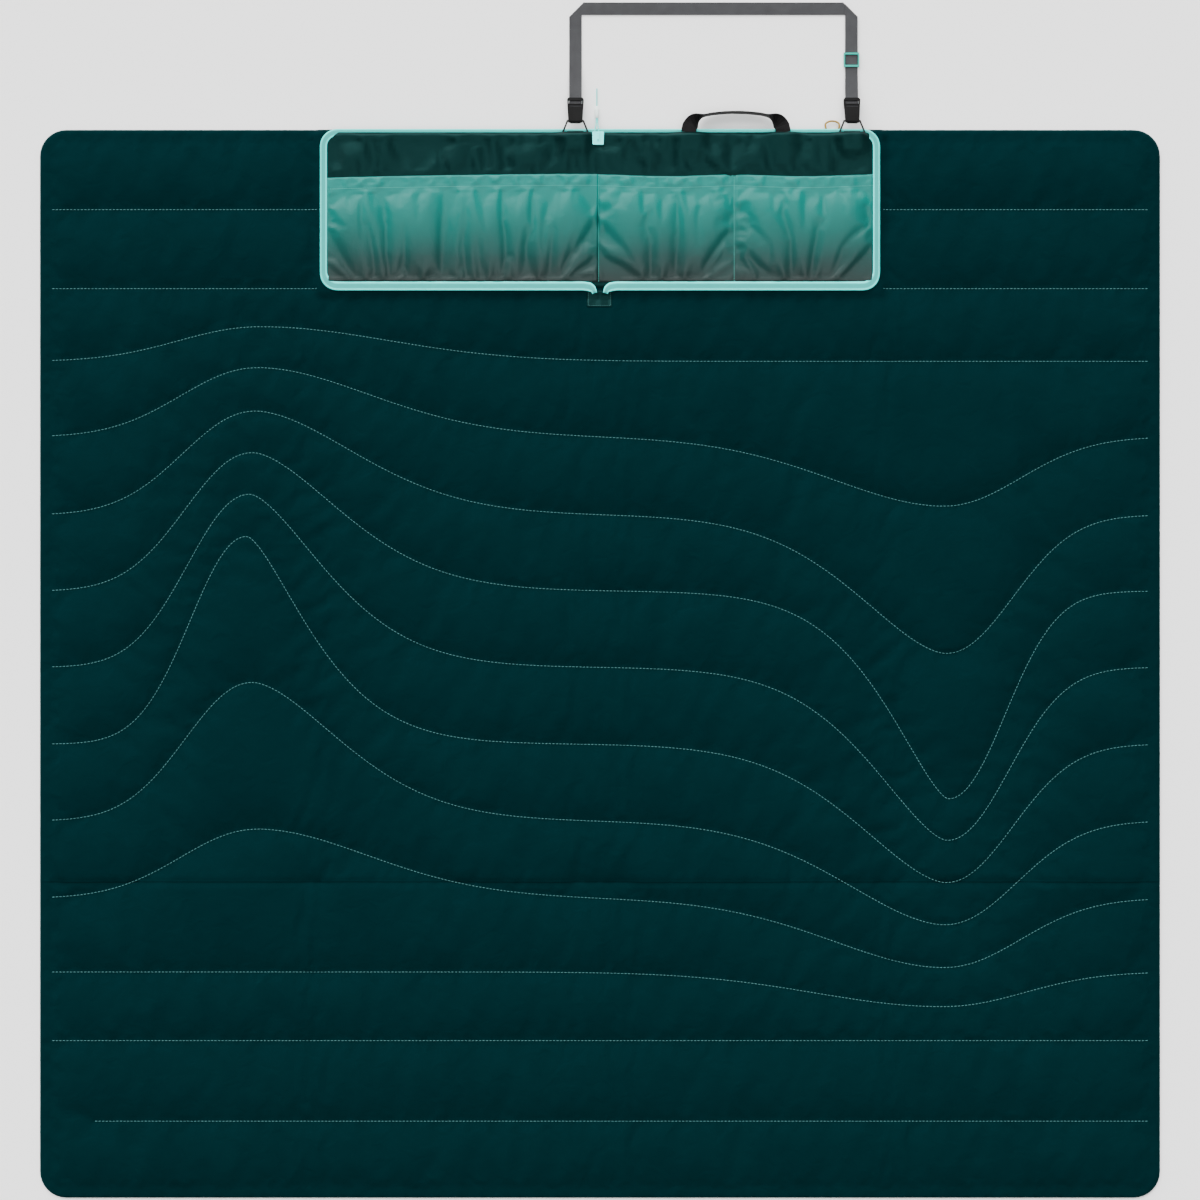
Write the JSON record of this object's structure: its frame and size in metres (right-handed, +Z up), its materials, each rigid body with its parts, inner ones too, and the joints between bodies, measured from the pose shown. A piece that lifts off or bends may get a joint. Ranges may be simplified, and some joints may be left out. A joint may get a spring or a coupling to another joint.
{
  "type": "camp blanket",
  "caption": "Quilted ground blanket with rounded corners, zipped organiser panel with gathered pockets, webbing shoulder strap on hooks, and a carrying handle.",
  "frame": {"origin": "on the ground under the middle of the blanket with its strap laid out", "axes": "+X across the blanket to the right, +Y along the ground towards the carrying panel and strap, +Z up"},
  "size_m": [1.78, 1.9, 0.0271],
  "materials": {
    "sheet_cloth": "matte",
    "ground_cloth": "satin",
    "wadding": "matte",
    "panel_cloth": "satin",
    "pocket_cloth": "satin",
    "elastic": "matte",
    "zip": "matte",
    "pull_cord": "matte",
    "strap_webbing": "matte",
    "handle_webbing": "matte",
    "hook_plastic": "satin",
    "adjuster_plastic": "gloss",
    "ring_wire": "satin",
    "gear_cord": "matte"
  },
  "bodies": {
    "right_half": {"right_half_ground_cloth": "ground_cloth", "right_half_wadding": "wadding", "right_half_top_cloth": "sheet_cloth", "right_half_lower_top_cloth": "sheet_cloth", "right_zip_tape": "zip", "right_zip_coil": "zip", "right_panel_backing": "panel_cloth", "right_pocket_front": "pocket_cloth", "right_pocket_hem": "pocket_cloth", "right_hem_elastic": "elastic", "right_end_patch": "panel_cloth", "right_ring_keeper": "panel_cloth", "left_handle_end": "handle_webbing", "right_handle_end": "handle_webbing"},
    "left_half": {"left_half_ground_cloth": "ground_cloth", "left_half_wadding": "wadding", "left_half_top_cloth": "sheet_cloth", "left_half_lower_top_cloth": "sheet_cloth", "left_zip_tape": "zip", "left_zip_coil": "zip", "left_panel_backing": "panel_cloth", "left_pocket_front": "pocket_cloth", "left_pocket_hem": "pocket_cloth", "left_hem_elastic": "elastic", "left_end_patch": "panel_cloth", "left_ring_keeper": "panel_cloth"},
    "slider": {"zip_slider": "zip"},
    "left_wing": {"left_wing_ground_cloth": "ground_cloth", "left_wing_wadding": "wadding", "left_wing_top_cloth": "sheet_cloth", "left_wing_lower_top_cloth": "sheet_cloth"},
    "right_wing": {"right_wing_ground_cloth": "ground_cloth", "right_wing_wadding": "wadding", "right_wing_top_cloth": "sheet_cloth", "right_wing_lower_top_cloth": "sheet_cloth"},
    "right_ring": {"right_ring": "ring_wire"},
    "left_ring": {"left_ring": "ring_wire"},
    "strap": {"strap_webbing": "strap_webbing", "left_hook": "hook_plastic", "right_hook": "hook_plastic"},
    "adjuster": {"strap_adjuster": "adjuster_plastic"},
    "handle": {"carry_handle": "handle_webbing"},
    "zip_pull": {"pull_cord": "pull_cord", "pull_bead": "pull_cord", "pull_cord_tail": "pull_cord"},
    "gear_loop": {"gear_loop": "gear_cord"}
  },
  "joints": [
    {"name": "centre_fold", "type": "hinge", "parent": "right_half", "child": "left_half", "pos_m": [0, 0, -0.019], "axis": [0, -1, 0], "range_deg": [0, 180]},
    {"name": "left_wing_fold", "type": "hinge", "parent": "left_half", "child": "left_wing", "pos_m": [-0.452, 0, -0.003], "axis": [0, -1, 0], "range_deg": [0, 180]},
    {"name": "right_wing_fold", "type": "hinge", "parent": "right_half", "child": "right_wing", "pos_m": [0.452, 0, -0.003], "axis": [0, 1, 0], "range_deg": [0, 180]},
    {"name": "ring_swing", "type": "hinge", "parent": "right_half", "child": "right_ring", "pos_m": [0.3995, 0.741, 0.018], "axis": [1, 0, 0], "range_deg": [0, 110]},
    {"name": "left_ring_swing", "type": "hinge", "parent": "left_half", "child": "left_ring", "pos_m": [-0.039, 0.741, 0.018], "axis": [1, 0, 0], "range_deg": [0, 110]},
    {"name": "strap_fold", "type": "hinge", "parent": "right_ring", "child": "strap", "pos_m": [0.3995, 0.7594, 0.018], "axis": [1, 0, 0], "range_deg": [-45, 60]},
    {"name": "adjuster_slide", "type": "slide", "parent": "strap", "child": "adjuster", "axis": [0, 1, 0], "range_m": [-0.006, 0.05]},
    {"name": "handle_swing", "type": "hinge", "parent": "right_half", "child": "handle", "pos_m": [0.2154, 0.7415, 0.0176], "axis": [1, 0, 0], "range_deg": [0, 100]},
    {"name": "slider_lean", "type": "hinge", "parent": "left_half", "child": "slider", "pos_m": [0, 0, -0.019], "axis": [0, -1, 0], "range_deg": [-81, 0]},
    {"name": "pull_swing", "type": "hinge", "parent": "slider", "child": "zip_pull", "pos_m": [-0.005, 0.7425, 0.0233], "axis": [1, 0, 0], "range_deg": [0, 170]},
    {"name": "gear_loop_swing", "type": "hinge", "parent": "right_half", "child": "gear_loop", "pos_m": [0.369, 0.7482, 0.007], "axis": [1, 0, 0], "range_deg": [-20, 45]}
  ],
  "couplings": [
    {"joint": "left_ring_swing", "follows": "ring_swing", "ratio": 1},
    {"joint": "slider_lean", "follows": "centre_fold", "ratio": -0.45}
  ]
}
